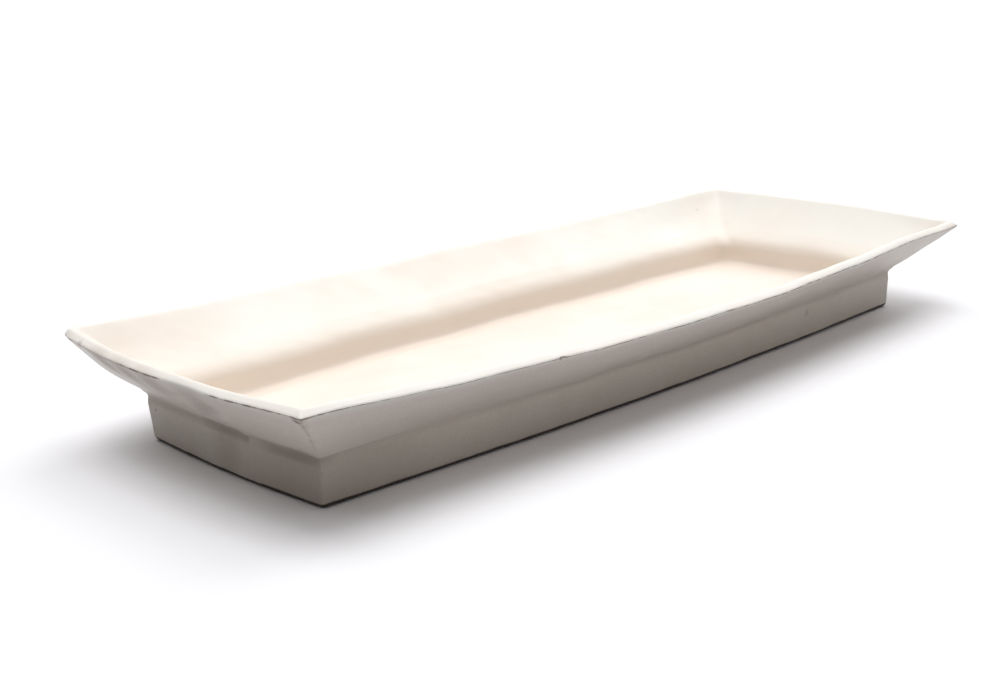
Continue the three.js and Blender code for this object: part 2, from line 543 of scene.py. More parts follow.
@dataclass(frozen=True)
class Joints:
    """How the joint under the rim was smoothed, and where the lip's lower edge was rubbed bare.

    The hollow over the joint is on the left side only. The lip drops a little at the corners.
    """

    bead: Ridge = Ridge(
        above=1.15,
        width=1.0,
        depth=1.25,
        courses=(
            Trace(
                (-155, -150, -130, -118, -60, 20, 90, 155),
                (0.08, 0.02, 0.02, 0.1, 0.14, 0.2, 0.14, 0.25),
            ),
            Trace((-45, -20, 10, 45), (0.25, 0.15, 0.45, 0.3)),
            Trace((-155, -100, -30, 40, 120, 155), (0.3, 0.4, 0.2, 0.35, 0.2, 0.3)),
            Trace(
                (-45, -30, -12, -7, 12, 15.5, 20, 26, 40, 45),
                (0.3, 0.3, 0.3, 0.45, 0.5, 0.4, 0.3, 0.3, 0.3, 0.08),
            ),
        ),
    )
    groove: Ridge = Ridge(
        above=-1.65,
        width=1.35,
        depth=1.0,
        courses=(
            Trace(
                (-155, -149, -130, -118, -60, 20, 90, 155),
                (0.5, 0.05, 0.02, 0.22, 0.3, 0.4, 0.3, 0.3),
            ),
            Trace((-45, -20, 10, 45), (0.3, 0.2, 0.5, 0.4)),
            Trace((-155, -100, -30, 40, 120, 155), (0.4, 0.5, 0.25, 0.4, 0.25, 0.3)),
            Trace(
                (-45, -38, -12, -7, 12, 15, 19, 25, 38, 45),
                (0.3, 0.55, 0.65, 1.0, 1.0, 0.2, 0.25, 0.85, 0.95, 0.5),
            ),
        ),
    )
    hollow: Ridge = Ridge(
        above=0.9,
        width=2.3,
        depth=0.6,
        courses=(
            *(NOWHERE,) * 3,
            Trace(
                (-45, -38, -12, -8, -5, 11, 13.5, 16, 19, 24, 38, 43, 45),
                (0.0, 0.3, 0.35, 0.5, 1.0, 1.0, 0.45, 0.35, 0.5, 0.7, 0.85, 0.5, 0.0),
            ),
        ),
    )
    worn: tuple[Trace, ...] = (
        Trace(
            (-170, -160, -150, -84, -80.5, -77, -60, 0, 100, 174),
            (0.7, 0.4, 0.25, 0.25, 0.85, 0.3, 0.35, 0.5, 0.45, 0.2),
        ),
        Trace((-66, -30, -10, 20, 66), (0.2, 0.5, 0.1, 0.4, 0.4)),
        Trace((-174, -90, -40, 30, 90, 174), (0.4, 0.1, 0.5, 0.2, 0.6, 0.3)),
        Trace(
            (-66, -50, -24, -22, -1, 1, 22, 25, 66),
            (0.3, 0.15, 0.2, 0.8, 0.8, 0.0, 0.0, 0.75, 0.7),
        ),
    )
    bead_sag: float = 0.35
    corner_drop: float = 0.57
    drop_length: float = 8.0
    drop_width: float = 2.2

    def work(self, side: Side, local: Array, leaning: Array, distances: Distances) -> None:
        """Shapes the bead and groove of the joint and the lip's drop at the corners, in place.

        Args:
            side: The side.
            local: The side's points, with the side facing -Y.
            leaning: How far each column has turned round a corner, from -1 to 1.
            distances: How far each point is from the mitre, the lip and the joint.
        """
        bead, groove, hollow = (
            ridge.depth * ridge.share(side, local[..., 0], distances.joint)
            for ridge in (self.bead, self.groove, self.hollow)
        )
        swell = bead - groove - hollow
        local[..., 1] -= swell
        local[..., 0] += swell * leaning
        local[..., 2] -= self.bead_sag * bead
        drop = self.corner_drop * np.exp(-np.abs(distances.seam) / self.drop_length)
        local[..., 2] -= drop * np.exp(-((distances.lip / self.drop_width) ** 2))


@dataclass
class Clay:
    """The unevenness that hands leave in rolled, cut and luted slabs, in millimetres.

    Each band of waves has a depth and a length. Near the table the clay moves less, so that the
    foot stays flat. The pushed plate is drawn in by a hair, so that it stays inside the box of the
    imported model.
    """

    touches: tuple[Touch, ...] = (
        # a crease and lumps under the left rim
        Touch((-172.6, -3.5, 29.4), (0.90, 0.0, 0.90), (2.2, 3.6, 1.3)),
        Touch((-172.0, -13.5, 28.6), (1.10, 0.0, 1.10), (2.2, 4.2, 1.4)),
        Touch((-170.0, -9.0, 26.4), (-0.70, 0.0, -0.70), (1.9, 2.4, 1.4)),
        Touch((-169.6, -16.5, 25.8), (-0.90, 0.0, -0.90), (1.9, 2.8, 1.4)),
        # the left lip's lower edge, rubbed round
        Touch((-178.6, -12.0, 34.3), (0.70, 0.0, 0.15), (1.8, 7.5, 1.8)),
        # the left wall, pressed in beside a low ridge
        Touch((-157.4, -2.5, 8.0), (0.45, 0.0, 0.0), (2.5, 6.0, 8.0)),
        Touch((-157.2, -15.6, 8.5), (-0.40, 0.0, 0.0), (2.5, 1.5, 9.0)),
        # the back left corner: a full underside, a blunt lip, a wall that stands out
        Touch((-163.0, 53.0, 25.8), (-0.50, 0.50, -0.75), (6.5, 6.5, 6.5)),
        Touch((-173.8, 63.0, 35.6), (0.45, -0.45, 0.45), (2.4, 2.4, 1.6)),
        Touch((-170.5, 60.0, 38.0), (-0.75, 0.75, 0.35), (2.4, 2.4, 1.8)),
        Touch((-154.6, 45.0, 12.0), (-0.55, 0.45, 0.0), (9.0, 9.0, 14.0)),
        # a chip in the lip of the front rim
        Touch((-80.6, -69.5, 33.3), (0.0, 0.40, 0.30), (0.8, 0.8, 0.8)),
        # the rim's front right corner, lower than the others and drawn out to a thin tip
        Touch((165.0, -59.0, 36.0), (0.0, 0.0, -2.1), (15.0, 15.0, 9.0)),
        Touch((174.0, -64.0, 36.5), (0.5, -1.5, 0.8), (5.5, 5.5, 6.0)),
        # a dent in the front wall
        Touch((86.5, -47.9, 10.9), (0.0, 0.22, 0.0), (2.2, 1.5, 1.8)),
        # a dab of slip at the front left corner, under the rim
        Touch((-157.5, -48.0, 19.5), (-0.45, -0.45, -0.2), (2.6, 2.6, 2.0)),
    )
    seed: int = 41
    sizes: tuple[tuple[float, float], ...] = ((0.28, 62.0), (0.055, 24.0), (0.02, 7.0))
    waves: int = 18
    length_spread: tuple[float, float] = (0.7, 1.5)
    standing_height: float = 6.0
    still_height: float = 12.0
    still_share: float = 0.35
    drawn_in: Place = (0.9984, 0.9965, 0.988)
    bands: list[tuple[Array, Array, Array]] = field(init=False, default_factory=list)

    def __post_init__(self) -> None:
        """Draws the waves of each size."""
        rng = np.random.default_rng(self.seed)
        for depth, length in self.sizes:
            ways = rng.normal(size=(self.waves, 3))
            ways /= np.linalg.norm(ways, axis=1, keepdims=True)
            ways *= 2 * math.pi / (length * rng.uniform(*self.length_spread, (self.waves, 1)))
            phases = rng.uniform(0, 2 * math.pi, self.waves)
            pushes = rng.normal(size=(self.waves, 3)) * depth * math.sqrt(2 / self.waves)
            self.bands.append((ways, phases, pushes))

    def push(self, points: Array) -> Array:
        """Moves points as the hands have moved the clay.

        Args:
            points: Points in millimetres, in any shape with a last axis of three.

        Returns:
            The points after the push, in the same shape.
        """
        flat = points.reshape(-1, 3)
        moved = np.zeros_like(flat)
        for ways, phases, pushes in self.bands:
            moved += np.sin(flat @ ways.T + phases) @ pushes
        for touch in self.touches:
            away = (flat - touch.centre) / touch.reach
            moved += np.exp(-0.5 * (away**2).sum(axis=1))[:, None] * touch.push
        moved[:, 2] *= np.clip(flat[:, 2] / self.standing_height, 0, 1) ** 1.5
        free = np.clip(flat[:, 2:] / self.still_height, 0, 1)
        moved[:, :2] *= self.still_share + (1 - self.still_share) * free
        return ((flat + moved) * self.drawn_in).reshape(points.shape)


UNSEEN = dict(seam=FAR, lip=FAR, worn=0.0, split=0.0, groove=0.0, well=0.0, thin=0.0)


@dataclass
class Patch:
    """A grid of points on the plate, in layers, with what its finish reads at each point.

    After the points and their normals, the layers seam and lip are distances in millimetres along
    the surface: from the nearest mitre, which is negative on its left, and from the lower edge of
    the lip. The others go from 0 to 1: how far the lip's lower edge was rubbed bare, how far a
    mitre shows, how deep the groove under the rim is, which sets the painted shade there, how near
    the sides of the well are, which sets their painted shade, and how thin the slip is.
    """

    layers: dict[str, Array]

    def part(self, rows: slice, columns: slice = slice(None)) -> "Patch":
        """The part of the grid with those rows and columns."""
        return Patch({key: layer[rows, columns] for key, layer in self.layers.items()})

    @classmethod
    def joined(cls, patches: list["Patch"]) -> "Patch":
        """Grids side by side, as one."""
        layers = [[patch.layers[key] for patch in patches] for key in patches[0].layers]
        return cls(dict(zip(patches[0].layers, (np.concatenate(row, axis=1) for row in layers))))

    @classmethod
    def unseen(cls, points: Array) -> "Patch":
        """A grid that lies inside the plate, far from any edge."""
        values = {key: np.full(points.shape[:-1], value) for key, value in UNSEEN.items()}
        return cls({"points": points, "normals": 0 * points, **values})


@dataclass
class Skin:
    """The whole outside of the plate as one sheet, from which the pieces take their faces.

    Three traces say how the finish changes: how thin the slip is above the joint, how far a mitre
    shows below it, and how the painted shade of the well's side runs out up the rim.
    """

    form: PlateForm
    section: Section
    carrier: Carrier
    joints: Joints
    clay: Clay
    thinness: Trace = Trace((-16, -3, 0, 4, 12), (0.75, 1, 0.8, 0.6, 1))
    showing: Trace = Trace((-25, -20, -9, -2, 0, 3, 9, 17), (1, 0.6, 0.55, 0, 0.1, 0.8, 0.5, 0.8))
    shade_run_out: Trace = Trace((0, 3, 13), (1.0, 0.75, 0.0))
    lip_fade: float = 3.0
    split_length: float = 6.0

    def shaped(self, side: Side, rows: Array) -> Array:
        """Rows carried along a side and pushed as the clay was."""
        return self.clay.push(side.turned(self.carrier.local(side, rows)))

    def normals(self, ring: Array) -> Array:
        """The directions in which the sheet faces at its points.

        Args:
            ring: The sheet's points: one line for each row, columns round the whole plate.

        Returns:
            Unit vectors in the same shape, facing out of the clay.
        """
        after = np.roll(ring, -1, axis=1)
        face = np.cross(after[1:] - ring[:-1], after[:-1] - ring[1:])
        total = np.zeros_like(ring)
        for rows in (slice(0, -1), slice(1, None)):
            total[rows] += face
            total[rows] += np.roll(face, 1, axis=1)
        return total / np.linalg.norm(total, axis=-1, keepdims=True)

    def sides(self) -> dict[Side, Patch]:
        """The sheet, cut at the mitres.

        Returns:
            A patch of all the skin's rows for each side.
        """
        rows = self.section.rows
        # a row on the floor, inside the first, for the normals of the first
        before = rows[:1] * [1.0, 1.0, 0.9, 0.9] - [0.6, 0.0, 0.0, 0.0]
        grids, values = {}, {}
        for side in Side:
            local = self.carrier.local(side, np.concatenate([before, rows]))
            distances = self.distances(side)
            self.joints.work(side, local[1:], self.carrier.stations[side].leaning, distances)
            values[side] = self.values(side, distances, local[1:, :, 0])
            grids[side] = self.clay.push(side.turned(local))
        ring = np.concatenate([grids[side][:, :-1] for side in Side], axis=1)
        facing = self.normals(ring)[1:]
        patches, start = {}, 0
        for side in Side:
            count = grids[side].shape[1]
            columns = np.arange(start, start + count) % ring.shape[1]
            start += count - 1
            shape = {"points": grids[side][1:], "normals": facing[:, columns]}
            patches[side] = Patch({**shape, **values[side]})
        return patches

    def values(self, side: Side, distances: Distances, along: Array) -> dict[str, Array]:
        """What the finish reads at each point of a side.

        Args:
            side: The side.
            distances: How far each point is from the mitre, the lip and the joint.
            along: The points' places along the side.

        Returns:
            The values, by name.
        """
        section, joints, joint, lip = self.section, self.joints, distances.joint, distances.lip
        index = np.arange(len(section.rows))[:, None]
        thin = self.thinness.at(joint)
        thin = np.where(index >= section.joint, thin, thin * np.clip(lip / self.lip_fade, 0, 1))
        near = np.clip(2 - np.abs(distances.seam) / self.split_length, 0, 1)
        outside = (index >= section.lip_low) & (index <= section.foot_start)
        # painted shade: the well's sides take a warm shaded tint, which runs out up the rim
        well = np.where(index < section.seat, 1.0, self.shade_run_out.at(lip - lip[section.seat]))
        # painted shade in the groove and hollow under the rim, partly glaze pooled there
        sunk = [ridge.share(side, along, joint) for ridge in (joints.groove, joints.hollow)]
        return {
            "seam": distances.seam,
            "lip": lip,
            "worn": joints.worn[side.value].at(along),
            "split": np.where(outside, self.showing.at(-joint) * near, 0.0),
            "groove": np.maximum(*sunk),
            "well": np.where(index <= section.lip_low, well, 0.0),
            "thin": np.where(index <= section.seat, 0.0, thin),
        }

    def distances(self, side: Side) -> Distances:
        """How far each point of a side is from the mitre, the lip's lower edge and the joint.

        Args:
            side: The side.

        Returns:
            The distances. Rows of the other faces lie far from the lip and the joint.
        """
        section, count = self.section, len(self.carrier.stations[side])
        steps = np.linalg.norm(np.diff(section.rows[:, :2], axis=0), axis=1)
        arc = np.append(0.0, np.cumsum(steps))
        index = np.arange(len(arc))
        on_rim = (index >= section.seat) & (index <= section.joint)
        lip = np.where(on_rim, arc - arc[section.lip_low], FAR)
        outside = (index >= section.lip_edge) & (index <= section.foot_start)
        joint = np.where(outside, arc[section.joint] - arc, FAR)
        half = np.where(np.linspace(0, 1, count) < 0.5, 1.0, -1.0)
        seam = self.carrier.seam_distance(side, section.rows) * half
        return Distances(seam, *(np.tile(row[:, None], count) for row in (lip, joint)))


# ---- Meshes ----------------------------------------------------------------------------------


@dataclass
class Mould:
    """Collects the vertices and faces of one closed piece and makes its object."""

    name: str
    layers: dict[str, list[Array]] = field(default_factory=dict)
    faces: list[tuple[int, ...]] = field(default_factory=list)
    hidden: list[bool] = field(default_factory=list)
    count: int = 0

    def add(self, patch: Patch) -> Array:
        """Adds a grid of vertices.

        Args:
            patch: The grid.

        Returns:
            The numbers of the vertices, in rows and columns.
        """
        for key, layer in patch.layers.items():
            self.layers.setdefault(key, []).append(layer.reshape(-1, *layer.shape[2:]))
        shape = patch.layers["seam"].shape
        numbers = self.count + np.arange(shape[0] * shape[1]).reshape(shape)
        self.count += numbers.size
        return numbers

    def sheet(self, numbers: Array, hidden: bool = False) -> None:
        """Adds the faces of a grid of vertices.

        Args:
            numbers: The vertices' numbers, in rows and columns.
            hidden: Whether the faces lie inside the plate.
        """
        a, b = numbers[:-1, :-1], numbers[1:, :-1]
        c, d = numbers[1:, 1:], numbers[:-1, 1:]
        quads = np.stack([a, b, c, d], axis=-1).reshape(-1, 4)
        self.faces.extend(map(tuple, quads.tolist()))
        self.hidden.extend([hidden] * len(quads))

    def loft(self, patches: tuple[Patch, ...]) -> None:
        """Closes a body whose section is the same closed loop of rows in each column.

        Args:
            patches: Grids round the section. The faces from each to the next and at the two ends
                lie inside the plate.
        """
        bands = [self.add(patch) for patch in patches]
        for numbers, following in zip(bands, bands[1:] + bands[:1]):
            self.sheet(numbers)
            self.sheet(np.stack([numbers[-1], following[0]]), hidden=True)
        rows = np.concatenate(bands)
        self.faces.extend([tuple(rows[::-1, 0].tolist()), tuple(rows[:, -1].tolist())])
        self.hidden.extend([True, True])

    def cast(self) -> bpy.types.Object:
        """Makes the object. The faces that are seen are smooth, the others flat.

        Returns:
            The object, in metres.
        """
        layers = {key: np.concatenate(parts) for key, parts in self.layers.items()}
        points, normals = layers.pop("points"), layers.pop("normals")
        mesh = bpy.data.meshes.new(self.name)
        mesh.from_pydata((points * MM).tolist(), [], self.faces)
        mesh.validate()
        for key, layer in layers.items():
            attribute = mesh.attributes.new(key, "FLOAT", "POINT")
            attribute.data.foreach_set("value", layer.astype(np.float32))
        smooth = ~np.array(self.hidden)
        mesh.polygons.foreach_set("use_smooth", smooth)
        corners = [number for face in self.faces for number in face]
        shown = np.repeat(smooth, [len(face) for face in self.faces])
        mesh.normals_split_custom_set(np.where(shown[:, None], normals[corners], 0.0).tolist())
        mesh.update()
        return linked(self.name, mesh)


def linked(name: str, data: bpy.types.ID) -> bpy.types.Object:
    """Makes an object and puts it in the scene.

    Args:
        name: Its name.
        data: Its mesh, lamp or camera.

    Returns:
        The object.
    """
    made = bpy.data.objects.new(name, data)
    bpy.context.scene.collection.objects.link(made)
    return made


def settle(piece: bpy.types.Object, node: str) -> None:
    """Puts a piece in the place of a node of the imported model.

    Args:
        piece: The piece.
        node: The node that it stands for.
    """
    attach(piece, BODY)
    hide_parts(node)
    LOG.info("%s: %d faces", piece.name, len(piece.data.polygons))


# ---- Finishes --------------------------------------------------------------------------------


@dataclass
class Web:
    """Adds nodes to a material, a world or a group, and joins them."""

    tree: bpy.types.NodeTree
    place: Socket | None = None

    def join(self, value: Value, socket: Socket) -> None:
        """Sets an input to a number or colour, or links an output to it.

        Args:
            value: The number, the colour or the output.
            socket: The input.
        """
        if isinstance(value, Socket):
            self.tree.links.new(value, socket)
        else:
            socket.default_value = value

    def add(
        self, kind: str, inputs: dict[str | int, Value] | None = None, **settings: object
    ) -> bpy.types.Node:
        """Adds a node.

        Args:
            kind: The node's type.
            inputs: What its inputs are set to or linked from, by name or number.
            **settings: The node's own settings.

        Returns:
            The node.
        """
        node = self.tree.nodes.new(kind)
        for key, value in settings.items():
            setattr(node, key, value)
        for key, value in (inputs or {}).items():
            self.join(value, node.inputs[key])
        return node

    def math(self, operation: str, a: Value, b: Value = 0.0, c: Value = 0.0) -> Socket:
        """A sum on up to three numbers."""
        return self.add("ShaderNodeMath", {0: a, 1: b, 2: c}, operation=operation).outputs[0]

    def times(self, a: Value, b: Value) -> Socket:
        """A product."""
        return self.math("MULTIPLY", a, b)

    def mix(self, share: Value, a: Value, b: Value) -> Socket:
        """A colour between two others."""
        return self.add("ShaderNodeMix", {0: share, 6: a, 7: b}, data_type="RGBA").outputs[2]

    def ramp(
        self,
        value: Value,
        low: float = 0.0,
        high: float = 1.0,
        start: float = 0.0,
        end: float = 1.0,
    ) -> Socket:
        """A value carried smoothly from the range low to high to the range start to end."""
        inputs = {0: value, 1: low, 2: high, 3: start, 4: end}
        return self.add("ShaderNodeMapRange", inputs, interpolation_type="SMOOTHSTEP").outputs[0]

    def near(self, away: Value, width: Value, soft: float) -> Socket:
        """A mask that falls from 1 to 0 as a distance grows to a width, softly at its edge."""
        share = self.math("SUBTRACT", 1.0, self.math("DIVIDE", away, width))
        return self.ramp(share, high=soft)

    def noise(self, place: Socket, length: Value, detail: float) -> Socket:
        """Smooth noise about 0.5, of a wavelength in millimetres."""
        inputs = {"Vector": place, "Scale": self.math("DIVIDE", 1.0, length), "Detail": detail}
        return self.add("ShaderNodeTexNoise", {**inputs, "Roughness": 0.5}).outputs["Fac"]

    def shake(self, length: float, detail: float) -> Socket:
        """Smooth noise about 0, of a wavelength in millimetres."""
        return self.math("SUBTRACT", self.noise(self.place, length, detail), 0.5)

    def value(self, name: str) -> Socket:
        """What the mesh holds under a name at each point."""
        return self.add("ShaderNodeAttribute", attribute_name=name).outputs["Fac"]

    def millimetres(self) -> Socket:
        """Each point's place on the plate, in millimetres."""
        inputs = {0: self.add("ShaderNodeTexCoord").outputs["Object"], "Scale": 1 / MM}
        return self.add("ShaderNodeVectorMath", inputs, operation="SCALE").outputs[0]

    def seen(self) -> Socket:
        """Whether the camera sees the surface, straight, in a gloss or through glass.

        Returns:
            A socket that is 1 for such rays.
        """
        rays = self.add("ShaderNodeLightPath").outputs
        seen = self.math("MAXIMUM", rays["Is Camera Ray"], rays["Is Glossy Ray"])
        return self.math("MAXIMUM", seen, rays["Is Transmission Ray"])

    def group(self, effect: "Effect", **inputs: Value) -> bpy.types.Node:
        """Places a shared effect, with its own values.

        Args:
            effect: The effect.
            **inputs: What its inputs are set to or linked from, by name.

        Returns:
            The node.
        """
        node = self.add("ShaderNodeGroup", node_tree=effect.tree())
        for key, value in {"Place": self.place, **inputs}.items():
            self.join(value, node.inputs[key])
        return node


@dataclass
class Group(Web):
    """The nodes of a shared effect, whose inputs are given."""

    given: dict[str, Socket] = field(default_factory=dict)

    def clouds(self) -> dict[str, Socket]:
        """Clouds: where the slip lies thicker or thinner.

        Returns:
            Masks of the broad patches, the small ones and the grain.
        """
        length = self.given["Length"]
        bend = self.add("ShaderNodeTexNoise", {"Vector": self.place, "Scale": 0.02, "Detail": 1.0})
        inputs = {0: bend.outputs["Color"], 1: (9.0, 9.0, 9.0), 2: self.place}
        bent = self.add("ShaderNodeVectorMath", inputs, operation="MULTIPLY_ADD").outputs[0]
        small = self.noise(bent, self.times(length, 0.24), detail=3.0)
        grain = self.noise(self.place, self.times(length, 0.018), detail=2.0)
        return {
            "Broad": self.ramp(self.noise(bent, length, detail=2.0), low=0.32, high=0.68),
            "Small": self.ramp(small, low=0.35, high=0.68),
            "Grain": self.ramp(grain, low=0.35, high=0.65),
        }

    def edge_break(self) -> dict[str, Socket]:
        """A ragged line along an edge, where slip and glaze are thin and the clay shows.

        Returns:
            Masks of the line and of the stain beside it.
        """
        given = self.given
        shift = self.times(self.shake(length=1.5, detail=2.0), given["Ragged"])
        sway = self.shake(length=9.0, detail=1.0)
        shift = self.math("MULTIPLY_ADD", sway, given["Wander"], shift)
        away = self.math("ABSOLUTE", self.math("ADD", given["Distance"], shift))
        patchy = self.noise(self.place, length=4.0, detail=3.0)
        patchy = self.ramp(patchy, low=0.34, high=0.6, start=0.55)
        width = self.times(self.times(given["Width"], patchy), given["Amount"])
        width = self.math("MAXIMUM", width, 0.001)
        return {
            "Line": self.times(self.near(away, width, soft=0.7), patchy),
            "Stain": self.times(self.near(away, self.times(width, 5.0), soft=1.0), patchy),
        }

    def specks(self) -> dict[str, Socket]:
        """Small round spots, scattered.

        Returns:
            Their mask.
        """
        spacing = self.given["Spacing"]
        inputs = {"Vector": self.place, "Scale": self.math("DIVIDE", 1.0, spacing)}
        cells = self.add("ShaderNodeTexVoronoi", inputs)
        parts = self.add("ShaderNodeSeparateColor", {0: cells.outputs["Color"]})
        away = self.times(cells.outputs["Distance"], spacing)
        size = self.times(self.given["Size"], self.ramp(parts.outputs[1], start=0.45))
        chosen = self.math("LESS_THAN", parts.outputs[0], self.given["Share"])
        return {"Mask": self.times(self.near(away, size, soft=0.5), chosen)}

    def tooth(self) -> dict[str, Socket]:
        """The relief of the glazed slip: soft ripples and a fine orange peel.

        Returns:
            Its height in millimetres.
        """
        scales = {"Ripple": 5.5, "Peel": 1.1}
        ripple, peel = (
            self.times(self.noise(self.place, length, detail=1.0), self.given[key])
            for key, length in scales.items()
        )
        return {"Height": self.math("ADD", ripple, peel)}

    def dot(self) -> dict[str, Socket]:
        """One soft round mark about a point.

        Returns:
            Its mask.
        """
        radius, joined = self.given["Radius"], {0: self.place, 1: self.given["Centre"]}
        away = self.add("ShaderNodeVectorMath", joined, operation="DISTANCE").outputs["Value"]
        ragged = self.times(self.math("MINIMUM", radius, 1.5), 0.9)
        shake = self.shake(length=1.2, detail=2.0)
        away = self.math("MULTIPLY_ADD", shake, ragged, away)
        return {"Mask": self.times(self.near(away, radius, soft=0.8), self.given["Strength"])}


class Effect(Enum):
    """The effects that the finishes share. Each is a node group, built once."""

    CLOUDS = "slip_clouds"
    BREAK = "edge_break"
    SPECKS = "specks"
    TOOTH = "glaze_tooth"
    DOT = "round_mark"

    def tree(self) -> bpy.types.NodeTree:
        """The effect's node group, built when it is first asked for.

        Returns:
            The group. An input set to None stands for a place.
        """
        tree = bpy.data.node_groups.get(self.value)
        if tree:
            return tree
        tree = bpy.data.node_groups.new(self.value, "ShaderNodeTree")
        build, inputs = EFFECTS[self]
        for key, value in {"Place": None, **inputs}.items():
            kind = "NodeSocketVector" if value is None else "NodeSocketFloat"
            socket = tree.interface.new_socket(name=key, in_out="INPUT", socket_type=kind)
            if value is not None:
                socket.default_value = value
        given = Web(tree).add("NodeGroupInput").outputs
        made = build(Group(tree, given["Place"], {key: given[key] for key in inputs}))
        for key in made:
            tree.interface.new_socket(name=key, in_out="OUTPUT", socket_type="NodeSocketFloat")
        Web(tree).add("NodeGroupOutput", made)
        return tree


EFFECTS = {
    Effect.CLOUDS: (Group.clouds, {"Length": 30.0}),
    Effect.BREAK: (
        Group.edge_break,
        {"Distance": FAR, "Width": 0.5, "Ragged": 0.2, "Wander": 0.0, "Amount": 1.0},
    ),
    Effect.SPECKS: (Group.specks, {"Spacing": 6.0, "Size": 0.4, "Share": 0.3}),
    Effect.TOOTH: (Group.tooth, {"Ripple": 0.008, "Peel": 0.0012}),
    Effect.DOT: (Group.dot, {"Centre": None, "Radius": 0.5, "Strength": 1.0}),
}


@dataclass(frozen=True)
class Mark:
    """A mark in the glaze, or a patch of painted light or shade: where its middle is, in
    millimetres, how wide and how strong.
    """

    centre: Place
    radius: float
    strength: float


